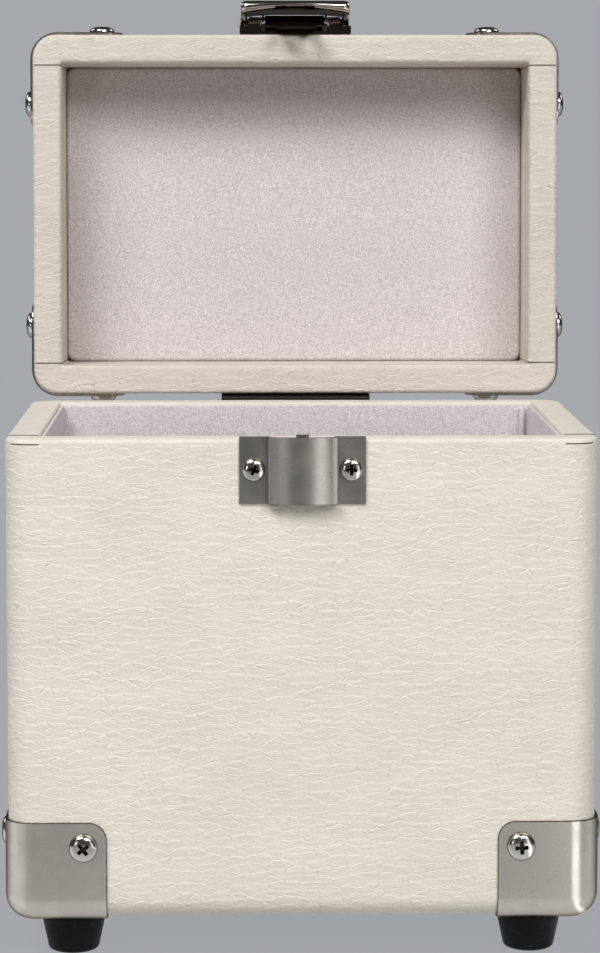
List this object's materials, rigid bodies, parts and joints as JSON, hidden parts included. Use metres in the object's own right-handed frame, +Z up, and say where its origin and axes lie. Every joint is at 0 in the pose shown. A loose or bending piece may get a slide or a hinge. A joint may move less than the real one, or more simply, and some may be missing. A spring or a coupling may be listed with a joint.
{
  "type": "record carrying case",
  "caption": "Upright carrying case for seven-inch records: leatherette-covered board box with felt lining, metal corner caps, rubber feet, hinged lid, draw latch and swinging handle.",
  "frame": {"origin": "on the floor under the feet, below the middle of the open case's bounding box", "axes": "+X to the case's right seen from its keeper side, +Y from the keeper to the hinge, +Z up"},
  "size_m": [0.224, 0.2184, 0.3569],
  "materials": {
    "board": "pressed fibreboard",
    "leatherette": "cream pebble-grained leatherette",
    "felt": "lilac grey felt",
    "chrome": "polished",
    "nickel": "satin nickel plate",
    "rubber": "matte black",
    "grip_leather": "cream leatherette, stitched"
  },
  "bodies": {
    "case_body": {"body_front_board": "board", "body_back_board": "board", "body_left_board": "board", "body_right_board": "board", "body_bottom_board": "board", "body_cover": "leatherette", "body_lining": "felt", "body_corner_front_left": "chrome", "body_corner_front_right": "chrome", "body_corner_rear_left": "chrome", "body_corner_rear_right": "chrome", "body_corner_screws": "chrome", "foot_front_left": "rubber", "foot_front_right": "rubber", "foot_rear_left": "rubber", "foot_rear_right": "rubber", "foot_washers": "nickel", "foot_screws": "nickel", "keeper_plate": "nickel", "keeper_catch": "nickel", "keeper_screws": "nickel", "hinge_body_leaf": "nickel", "hinge_pin": "nickel", "hinge_body_screws": "nickel"},
    "lid": {"lid_top_board": "board", "lid_front_board": "board", "lid_back_board": "board", "lid_left_board": "board", "lid_right_board": "board", "lid_cover": "leatherette", "lid_lining": "felt", "lid_corner_front_left": "chrome", "lid_corner_front_right": "chrome", "lid_corner_rear_left": "chrome", "lid_corner_rear_right": "chrome", "lid_corner_screws": "chrome", "hinge_lid_leaf": "nickel", "hinge_lid_screws": "nickel", "latch_base": "chrome", "latch_base_screws": "chrome", "latch_pivot_rivets": "chrome", "handle_bracket_left": "chrome", "handle_bracket_right": "chrome", "handle_bracket_screws": "chrome"},
    "latch_lever": {"latch_lever": "chrome", "hook_pin": "chrome"},
    "latch_hook": {"latch_hook": "chrome"},
    "handle": {"handle_bail": "chrome", "handle_grip": "grip_leather", "handle_ferrules": "chrome"}
  },
  "joints": [
    {"name": "lid_hinge", "type": "hinge", "parent": "case_body", "child": "lid", "pos_m": [0, 0.04573, 0.1938], "axis": [1, 0, 0], "range_deg": [0, 92.1]},
    {"name": "lever_pivot", "type": "hinge", "parent": "lid", "child": "latch_lever", "pos_m": [0, 0.07112, 0.34847], "axis": [-1, 0, 0], "range_deg": [0, 75]},
    {"name": "hook_pivot", "type": "hinge", "parent": "latch_lever", "child": "latch_hook", "pos_m": [0, 0.07438, 0.35006], "axis": [-1, 0, 0], "range_deg": [-66, 0]},
    {"name": "handle_swing", "type": "hinge", "parent": "lid", "child": "handle", "pos_m": [0, 0.10297, 0.26745], "axis": [1, 0, 0], "range_deg": [-2, 176]}
  ],
  "couplings": [
    {"joint": "hook_pivot", "follows": "lever_pivot", "ratio": -0.88}
  ]
}
